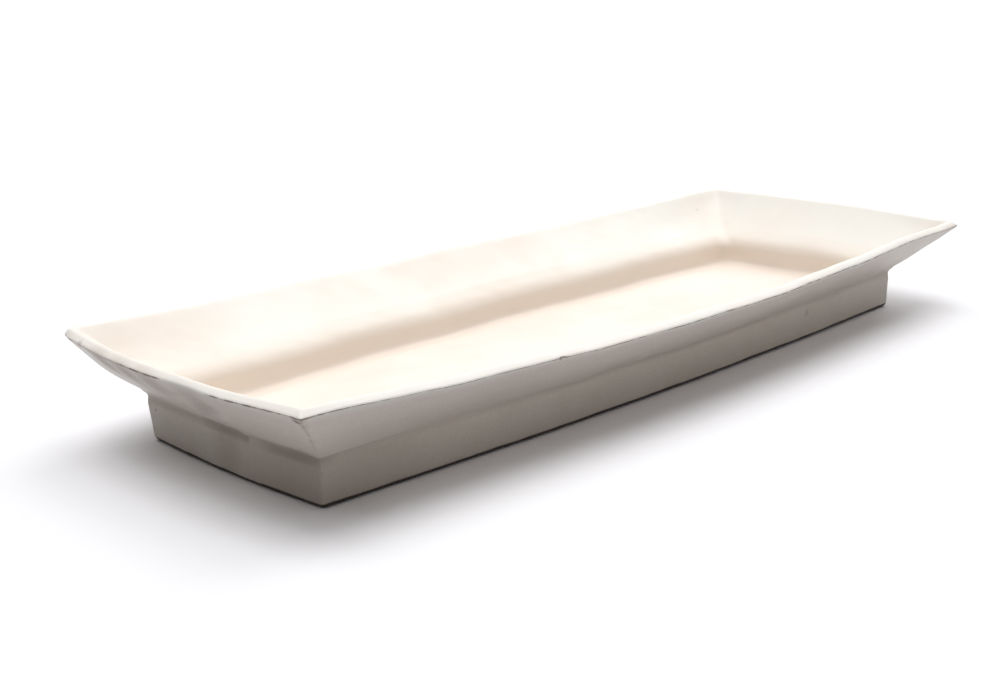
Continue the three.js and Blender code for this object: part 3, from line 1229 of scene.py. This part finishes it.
@dataclass(frozen=True)
class SlipGlaze:
    """White slip under a clear glaze, over a brown stoneware.

    The slip is warm white, clouded with cream and blush, and it turns to a darker cream where it is
    thin, on the outside. Painted shade warms the sides of the well and darkens the groove under the
    rim, where glaze also pools; painted light whitens the lip and the inside of the right rim. The
    clay shows at worn edges, along the mitres outside, in pinholes and on the bare foot, whose dark
    colour is also painted contact shadow; some marks paint shade in the clay's colour.
    """

    name: str
    # spots of clay colour; on the rims and walls some are painted shade
    marks: tuple[Mark, ...] = ()
    # patches of painted light, where the slip is made whiter
    lit_patches: tuple[Mark, ...] = ()
    white: Colour = (0.930, 0.905, 0.835, 1.0)
    cream: Colour = (0.920, 0.862, 0.775, 1.0)
    blush: Colour = (0.920, 0.805, 0.725, 1.0)
    thin: Colour = (0.850, 0.770, 0.675, 1.0)
    # painted shade: the warm tint of the well's sides
    well_shade: Colour = (0.945, 0.835, 0.735, 1.0)
    # painted light: the lip's face made whiter
    lip: Colour = (0.965, 0.930, 0.870, 1.0)
    # the white of the painted light patches
    painted_light: Colour = (0.985, 0.952, 0.880, 1.0)
    # the dark of the grain, and the painted shade in the groove under the rim, partly pooled glaze
    grain_and_groove_shade: Colour = (0.430, 0.365, 0.305, 1.0)
    clay: Colour = (0.150, 0.095, 0.065, 1.0)
    # the bare foot's clay, darker than the clay so as to paint the contact shadow
    bare_and_contact_shade: Colour = (0.050, 0.034, 0.026, 1.0)
    cloud_length: float = 46.0
    blush_share: float = 0.55
    grain_share: float = 0.12
    groove_shade_share: float = 0.85
    lip_light_share: float = 0.65
    lip_middle: float = 1.4
    hole_share: float = 0.6
    fleck_share: float = 0.35
    rubbed_share: float = 0.85
    line_share: float = 0.55
    stain_share: float = 0.3
    break_width: float = 0.5
    foot_height: float = 1.35
    foot_below: float = 0.25
    foot_above: float = 0.15
    roughness: float = 0.36
    rough_spread: float = 0.06
    bare_roughness: float = 0.75
    pinhole_depth: float = 0.12
    ior: float = 1.5

    def material(self) -> bpy.types.Material:
        """Mixes the glaze.

        Returns:
            The material.
        """
        material = bpy.data.materials.new(self.name)
        material.use_nodes = True
        web = Web(material.node_tree)
        web.place = web.millimetres()
        shader = material.node_tree.nodes["Principled BSDF"]
        clouds = web.group(Effect.CLOUDS, Length=self.cloud_length).outputs
        holes = web.group(Effect.SPECKS, Spacing=15.0, Size=0.36, Share=0.18).outputs["Mask"]
        flecks = web.group(Effect.SPECKS, Spacing=4.6, Size=0.20, Share=0.07).outputs["Mask"]
        shows = [web.times(holes, self.hole_share), web.times(flecks, self.fleck_share)]
        clay = self.worn(web)
        # the marks include painted shade under the left rim and on the left wall, in the clay's
        # colour
        for mask in (*shows, *(self.dot(web, mark) for mark in self.marks)):
            clay = web.math("MAXIMUM", clay, mask)
        # the foot's band is bare clay, its dark colour also painted contact shadow
        foot = self.foot(web, clouds["Small"])

        colour = web.mix(clay, self.slip(web, clouds), self.clay)
        web.join(web.mix(foot, colour, self.bare_and_contact_shade), shader.inputs["Base Color"])
        rougher = self.roughness + self.rough_spread
        rough = web.ramp(clouds["Small"], start=self.roughness, end=rougher)
        rough = {0: web.math("MAXIMUM", clay, foot), 2: rough, 3: self.bare_roughness}
        rough = web.add("ShaderNodeMix", rough, data_type="FLOAT").outputs[0]
        web.join(rough, shader.inputs["Roughness"])
        tooth = web.group(Effect.TOOTH).outputs["Height"]
        height = web.math("MULTIPLY_ADD", holes, -self.pinhole_depth, tooth)
        bump = web.add("ShaderNodeBump", {"Height": height, "Distance": MM, "Strength": 1.0})
        web.join(bump.outputs["Normal"], shader.inputs["Normal"])
        shader.inputs["IOR"].default_value = self.ior
        return material

    def dot(self, web: Web, mark: Mark) -> Socket:
        """The mask of one mark."""
        inputs = {"Centre": mark.centre, "Radius": mark.radius, "Strength": mark.strength}
        return web.group(Effect.DOT, **inputs).outputs["Mask"]

    def slip(self, web: Web, clouds: dict[str, Socket]) -> Socket:
        """The colour of the slip under the glaze, with its painted light and shade.

        Args:
            web: The material's nodes.
            clouds: The clouds in the slip.

        Returns:
            The colour.
        """
        broad, small, thin = clouds["Broad"], clouds["Small"], web.value("thin")
        colour = web.mix(broad, self.white, self.cream)
        soft = web.ramp(small, start=0.7 * self.blush_share, end=self.blush_share)
        colour = web.mix(web.times(web.times(broad, broad), soft), colour, self.blush)
        # painted light: whiter slip where the rim should look more lit
        for mark in self.lit_patches:
            colour = web.mix(self.dot(web, mark), colour, self.painted_light)
        # painted shade: the warm tint of the well's sides
        colour = web.mix(web.value("well"), colour, self.well_shade)
        # painted light: the lip's face turned whiter
        off_lip = web.math("ABSOLUTE", web.math("ADD", web.value("lip"), self.lip_middle))
        lip_light = web.ramp(off_lip, low=0.8, high=4.6, start=self.lip_light_share, end=0.0)
        colour = web.mix(lip_light, colour, self.lip)
        colour = web.mix(web.times(thin, web.ramp(small, start=0.86)), colour, self.thin)
        grain = web.times(web.times(clouds["Grain"], self.grain_share), thin)
        colour = web.mix(grain, colour, self.grain_and_groove_shade)
        # painted shade in the groove and hollow under the rim, partly glaze pooled there
        return web.mix(web.times(web.value("groove"), self.groove_shade_share), colour, self.grain_and_groove_shade)

    def worn(self, web: Web) -> Socket:
        """Where the clay shows: along the rubbed lip, and along the mitres outside.

        Args:
            web: The material's nodes.

        Returns:
            The clay's mask.
        """
        lip = {"Distance": web.value("lip"), "Amount": web.value("worn")}
        lip = web.group(Effect.BREAK, Width=self.break_width, **lip).outputs
        split = web.value("split")
        seam = {"Distance": web.value("seam"), "Amount": split, "Ragged": 0.35, "Wander": 0.6}
        seam = web.group(Effect.BREAK, Width=self.break_width, **seam).outputs
        line = web.times(web.times(seam["Line"], split), self.line_share)
        stain = web.times(web.times(seam["Stain"], split), self.stain_share)
        rubbed = web.times(lip["Line"], self.rubbed_share)
        return web.math("MAXIMUM", rubbed, web.math("MAXIMUM", line, stain))

    def foot(self, web: Web, small: Socket) -> Socket:
        """Where the foot was wiped bare, up to just above the table, and painted dark as contact
        shadow.

        Args:
            web: The material's nodes.
            small: The small clouds, which make the edge uneven.

        Returns:
            The bare clay's mask.
        """
        height = web.add("ShaderNodeSeparateXYZ", {0: web.place}).outputs["Z"]
        height = web.math("MULTIPLY_ADD", small, -self.foot_below, height)
        low, high = self.foot_height - self.foot_below, self.foot_height + self.foot_above
        return web.ramp(height, low, high, start=1.0, end=0.0)


# The first four marks are painted shade under the left rim; the others are spots and chips.
RIM_SPOTS_AND_SHADE = (
    Mark((-177.6, -12.0, 23.4), 14.0, 0.56),
    Mark((-180.3, 8.0, 27.0), 13.0, 0.52),
    Mark((-179.9, 22.0, 27.3), 13.0, 0.58),
    Mark((-179.0, 36.0, 28.0), 13.0, 0.58),
    Mark((-173.6, -60.2, 34.7), 2.2, 0.8),
    Mark((-166.2, -61.7, 38.0), 0.45, 0.7),
    Mark((-153.2, -64.5, 35.1), 0.35, 0.6),
    Mark((-80.6, -69.2, 33.0), 1.1, 0.8),
    Mark((149.8, 55.2, 31.6), 0.9, 0.22),
    Mark((-175.4, 48.8, 36.2), 2.2, 0.3),
)
# The second and third marks are painted shade, on the pressed patch of the left wall and on the
# walls about the front left corner; the others are pinholes and spots.
WALL_SPOTS_AND_SHADE = (
    Mark((-155.9, 40.0, 11.6), 0.6, 0.85),
    Mark((-157.6, -2.0, 8.0), 12.0, 0.22),
    Mark((-172.0, -62.0, 6.0), 75.0, 0.30),
    Mark((86.5, -47.9, 10.9), 2.3, 0.22),
    Mark((-154.6, -45.0, 14.2), 0.9, 0.5),
    Mark((-154.4, -45.0, 11.2), 0.8, 0.5),
)
# painted light: the inside of the right rim made whiter
RIGHT_RIM_LIGHT = (Mark((210.0, 0.0, 35.0), 78.0, 1.0),)
COIL_MARKS = (Mark((145.1, 35.5, 11.9), 0.9, 0.25),)
FLOOR_MARKS = (Mark((48.9, 12.1, 9.0), 0.45, 0.7),)


# ---- The pieces of the plate -----------------------------------------------------------------


@dataclass
class Pieces:
    """Pieces of one kind, which take their outer faces from the skin."""

    skin: Skin
    patches: dict[Side, Patch]
    made: list[bpy.types.Object] = field(default_factory=list)

    def keep(self, mould: Mould, node: str) -> None:
        """Makes a piece, in the place of a node.

        Args:
            mould: The piece's vertices and faces.
            node: The node.
        """
        piece = mould.cast()
        settle(piece, node)
        self.made.append(piece)

    def loft(self, node: str, *patches: Patch) -> None:
        """Makes a piece from the grids round its section, in the place of a node.

        Args:
            node: The node.
            *patches: The grids.
        """
        mould = Mould(f"{node}_glazed")
        mould.loft(patches)
        self.keep(mould, node)

    def hidden(self, side: Side, rows: Array, columns: slice = slice(None)) -> Patch:
        """Rows along a side that lie inside the clay."""
        return Patch.unseen(self.skin.shaped(side, rows)[:, columns])

    def dress(self, material: bpy.types.Material) -> None:
        """Glazes the pieces."""
        for piece in self.made:
            piece.data.materials.append(material)


class Rims(Pieces):
    """The four flared slabs of the rim, mitred at the corners of the plate."""

    def build(self) -> None:
        """Makes each rim from the skin between its seat and the joint under it."""
        rows = slice(self.skin.section.seat, self.skin.section.joint + 1)
        for side in Side:
            self.loft(f"rim_{side.word}", self.patches[side].part(rows))


class Walls(Pieces):
    """The four upright slabs, whose lower edges are the foot."""

    def build(self) -> None:
        """Makes each wall from its outer skin, its foot and its inner face."""
        section, form = self.skin.section, self.skin.form
        inner = slice(section.cove_end, section.seat + 1)
        outer = slice(section.joint, section.under_wall + 1)
        low = section.behind([(-form.wall_lit_patchesness, form.floor_height)])
        for side in Side:
            patch = self.patches[side]
            inside = patch.part(inner)
            rows = section.behind(section.rows[inner, :2])
            inside.layers["points"] = self.skin.shaped(side, rows)
            self.loft(f"wall_{side.word}", patch.part(outer), self.hidden(side, low), inside)


@dataclass
class Coils(Pieces):
    """The coils smoothed into the inside joints: four along the floor, four up the corners."""

    luted: float = 0.15

    def build(self) -> None:
        """Makes the coils along the floor, then those in the corners."""
        for side in Side:
            self.build_floor_coil(side)
        for side in Side:
            self.build_corner_coil(side)

    def back_rows(self, *heights: float) -> Array:
        """Rows where the coils are pressed into the walls."""
        out = self.luted - self.skin.form.wall_lit_patchesness
        return self.skin.section.behind([(out, height) for height in heights])

    def build_floor_coil(self, side: Side) -> None:
        """Makes the coil along the floor of one side, between the corner coils.

        Args:
            side: The side.
        """
        steps = self.skin.carrier.stations[side].corner_steps
        columns = slice(steps, -steps)
        cove = self.patches[side].part(slice(0, self.skin.section.cove_end + 1), columns)
        rows = self.back_rows(self.skin.form.floor_height - self.luted)
        self.loft(f"floor_coil_{side.word}", cove, self.hidden(side, rows, columns))

    def build_corner_coil(self, side: Side) -> None:
        """Makes the coil in the corner between one side and the next.

        Args:
            side: The side, whose right-hand corner it is.
        """
        form, stations, beside = self.skin.form, self.skin.carrier.stations, side.beside
        ends = (
            (side, slice(-stations[side].corner_steps - 1, None)),
            (beside, slice(1, stations[beside].corner_steps + 1)),
        )
        rows = slice(0, self.skin.section.seat + 1)
        backs = self.back_rows(form.joint_height + self.luted, form.floor_height - self.luted)
        cove = Patch.joined([self.patches[end].part(rows, columns) for end, columns in ends])
        back = Patch.joined([self.hidden(end, backs, columns) for end, columns in ends])
        long, short = (side, beside) if side.is_long else (beside, side)
        self.loft(f"corner_coil_{long.word}_{short.word}", cove, back)


@dataclass
class Floor(Pieces):
    """The floor slab, raised inside the foot. Its edge has some of the painted shade of the well's
    sides.
    """

    edge_shade: float = 0.5
    edge_width: float = 9.0
    nudge: float = 0.5

    def build(self) -> None:
        """Makes the slab from its top, its underside and its edge behind the coils."""
        section, form = self.skin.section, self.skin.form
        mould = Mould("floor_slab_glazed")
        shown = self.ring(slice(0, 1))
        # painted shade on the floor's outer row, as in the well's sides
        shown.layers["well"] = np.full_like(shown.layers["well"], self.edge_shade)
        top = mould.add(shown)
        under = mould.add(self.ring(slice(section.under_wall, None)))
        rows = section.behind([(-form.wall_lit_patchesness, form.floor_height)])
        edge = Patch.joined([self.hidden(side, rows, slice(0, -1)) for side in Side])
        behind = mould.add(edge)
        for numbers, hidden in (
            (under, False),
            (np.concatenate([behind, under[:1]]), True),
            (np.concatenate([top, behind]), True),
        ):
            mould.sheet(np.concatenate([numbers, numbers[:, :1]], axis=1), hidden)
        self.fill(mould, top[0], form.floor_height, 1)
        self.fill(mould, under[-1], form.floor_height - form.floor_thickness, -1)
        self.keep(mould, "floor_slab")

    def ring(self, rows: slice) -> Patch:
        """Rows of the skin all the way round the plate."""
        return Patch.joined([self.patches[side].part(rows, slice(0, -1)) for side in Side])

    def fill(self, mould: Mould, edge: Array, height: float, facing: int) -> None:
        """Fills the floor inside its edge with a grid of faces.

        Args:
            mould: The piece.
            edge: The numbers of the edge's vertices, round the whole plate.
            height: The height of that face of the slab.
            facing: 1 for the top, -1 for the underside.
        """
        counts = [len(self.skin.carrier.stations[side]) - 1 for side in Side]
        starts = np.append(0, np.cumsum(counts))
        around = np.append(edge, edge[0])
        sides = [around[starts[k] : starts[k + 1] + 1] for k in range(4)]
        front, right, back, left = sides[0], sides[1], sides[2][::-1], sides[3][::-1]
        placed = np.concatenate(mould.layers["points"])
        u, v = placed[front][:, 0], placed[left][:, 1]
        u = ((u - u[0]) / (u[-1] - u[0]))[:, None, None]
        v = ((v - v[0]) / (v[-1] - v[0]))[None, :, None]
        near, far = placed[front][:, None], placed[back][:, None]
        west, east = placed[left][None], placed[right][None]
        flat = (1 - v) * near + v * far + (1 - u) * west + u * east
        flat -= (1 - u) * (1 - v) * near[:1] + u * (1 - v) * near[-1:]
        flat -= (1 - u) * v * far[:1] + u * v * far[-1:]
        inside = flat[1:-1, 1:-1]
        ones = np.ones(inside.shape[:2])
        level = np.dstack([inside[..., :2], height * ones])
        steps = self.nudge * np.array([[0, 0, 0], [1, 0, 0], [0, 1, 0], [-1, 0, 0], [0, -1, 0]])
        here, east, north, west, south = (self.skin.clay.push(level + s)[..., 2] for s in steps)
        patch = Patch.unseen(np.dstack([inside[..., :2], here]))
        normals = np.dstack([west - east, south - north, ones])
        patch.layers["normals"] = normals * facing / np.linalg.norm(normals, axis=-1)[..., None]
        if facing > 0:
            # painted shade along the floor's edge, fading inward
            borders = (flat[:, :1], flat[:, -1:], flat[:1], flat[-1:])
            away = [np.linalg.norm(flat - border, axis=-1) for border in borders]
            share = np.clip(1 - np.min(away, axis=0)[1:-1, 1:-1] / self.edge_width, 0, 1)
            patch.layers["well"] = self.edge_shade * share**1.5
        else:
            patch.layers["thin"] = ones
        numbers = np.empty((len(front), len(left)), dtype=int)
        numbers[1:-1, 1:-1] = mould.add(patch)
        numbers[:, 0], numbers[-1], numbers[:, -1], numbers[0] = front, right, back, left
        mould.sheet(numbers if facing > 0 else numbers[:, ::-1])


# ---- Studio ----------------------------------------------------------------------------------


@dataclass(frozen=True)
class Lamp:
    """A soft far lamp: its strength on a surface that faces it, its width and its direction."""

    name: str
    strength: float
    width: float
    elevation: float
    azimuth: float


@dataclass
class Studio:
    """The table, the light and the camera."""

    lamps: tuple[Lamp, ...] = (
        Lamp("overhead", 0.25, 38.0, 86.0, 0.0),
        Lamp("right", 0.33, 40.0, 48.0, 12.0),
        Lamp("behind", 0.27, 38.0, 63.0, 92.0),
        Lamp("left", 0.25, 36.0, 66.0, 188.0),
        Lamp("front_right", 0.11, 38.0, 54.0, 312.0),
        Lamp("front_low", 0.066, 36.0, 8.0, 275.0),
    )
    room: Colour = (0.0, 0.0, 0.0, 1.0)
    backdrop: Colour = (1.0, 1.0, 1.0, 1.0)
    table_white: Colour = (0.980, 0.975, 1.0, 1.0)
    table_bounce: Colour = (0.52, 0.51, 0.52, 1.0)
    table_roughness: float = 0.9
    table_gloss: float = 0.1
    table_reach: float = 30.0
    lens: float = 50.71
    sensor: float = 36.0
    place: Place = (-0.38132, -0.34551, 0.15400)
    azimuth: float = -44.802
    elevation: float = 15.526
    roll: float = -1.14

    def set_camera(self) -> None:
        """Stands the camera where the photograph was taken from."""
        pose = Matrix.Translation(self.place)
        for axis, turn in (("Z", self.azimuth), ("X", 90.0 - self.elevation), ("Z", self.roll)):
            pose = pose @ Matrix.Rotation(math.radians(turn), 4, axis)
        camera = bpy.data.cameras.new("camera")
        camera.lens, camera.sensor_width, camera.sensor_fit = self.lens, self.sensor, "HORIZONTAL"
        camera.clip_start, camera.clip_end = 0.01, 100.0
        holder = linked("camera", camera)
        holder.matrix_world = pose
        bpy.context.scene.camera = holder

    def set_table(self) -> None:
        """Lays the pale table that the plate stands on. It throws back less light than is seen."""
        mesh = bpy.data.meshes.new("table")
        signs = ((-1, -1), (1, -1), (1, 1), (-1, 1))
        corners = [(x * self.table_reach, y * self.table_reach, 0) for x, y in signs]
        mesh.from_pydata(corners, [], [(0, 1, 2, 3)])
        table = linked("table", mesh)
        material = bpy.data.materials.new("table_white")
        material.use_nodes = True
        web = Web(material.node_tree)
        shader = material.node_tree.nodes["Principled BSDF"]
        shader.inputs["Roughness"].default_value = self.table_roughness
        shader.inputs["Specular IOR Level"].default_value = self.table_gloss
        colour = web.mix(web.seen(), self.table_bounce, self.table_white)
        web.join(colour, shader.inputs["Base Color"])
        mesh.materials.append(material)

    def set_light(self) -> None:
        """Hangs the large soft lamps in a dark room, whose far walls look white."""
        for lamp in self.lamps:
            light = bpy.data.lights.new(lamp.name, "SUN")
            light.energy = lamp.strength * math.pi
            light.angle = math.radians(lamp.width)
            tilt, turn = math.radians(90.0 - lamp.elevation), math.radians(lamp.azimuth)
            linked(lamp.name, light).rotation_euler = (0.0, tilt, turn)
        world = bpy.data.worlds.new("room")
        bpy.context.scene.world = world
        world.use_nodes = True
        web = Web(world.node_tree)
        colour = web.mix(web.seen(), self.room, self.backdrop)
        web.join(colour, world.node_tree.nodes["Background"].inputs["Color"])

    def set_view(self) -> None:
        """Shows colours as they are."""
        bpy.context.scene.view_settings.view_transform = "Standard"


def main() -> None:
    """Builds the plate, piece by piece, and the studio round it."""
    logging.basicConfig(level=logging.INFO, format="%(name)s: %(message)s")
    studio = Studio()
    studio.set_view()
    studio.set_camera()
    studio.set_table()
    studio.set_light()

    form = PlateForm.from_frame()
    skin = Skin(form, Section(form), Carrier(form), Joints(), Clay())
    patches = skin.sides()
    rim_slip = {"thin": (0.870, 0.805, 0.725, 1.0), "blush_share": 0.75}
    wall_slip = {"thin": (0.790, 0.715, 0.625, 1.0), "roughness": 0.40}
    for parts, glaze in (
        (Rims(skin, patches), SlipGlaze("rim_glaze", RIM_SPOTS_AND_SHADE, RIGHT_RIM_LIGHT, **rim_slip)),
        (Walls(skin, patches), SlipGlaze("wall_glaze", WALL_SPOTS_AND_SHADE, **wall_slip)),
        (Coils(skin, patches), SlipGlaze("coil_glaze", COIL_MARKS)),
        (Floor(skin, patches), SlipGlaze("floor_glaze", FLOOR_MARKS)),
    ):
        parts.build()
        parts.dress(glaze.material())


if __name__ == "__main__":
    main()
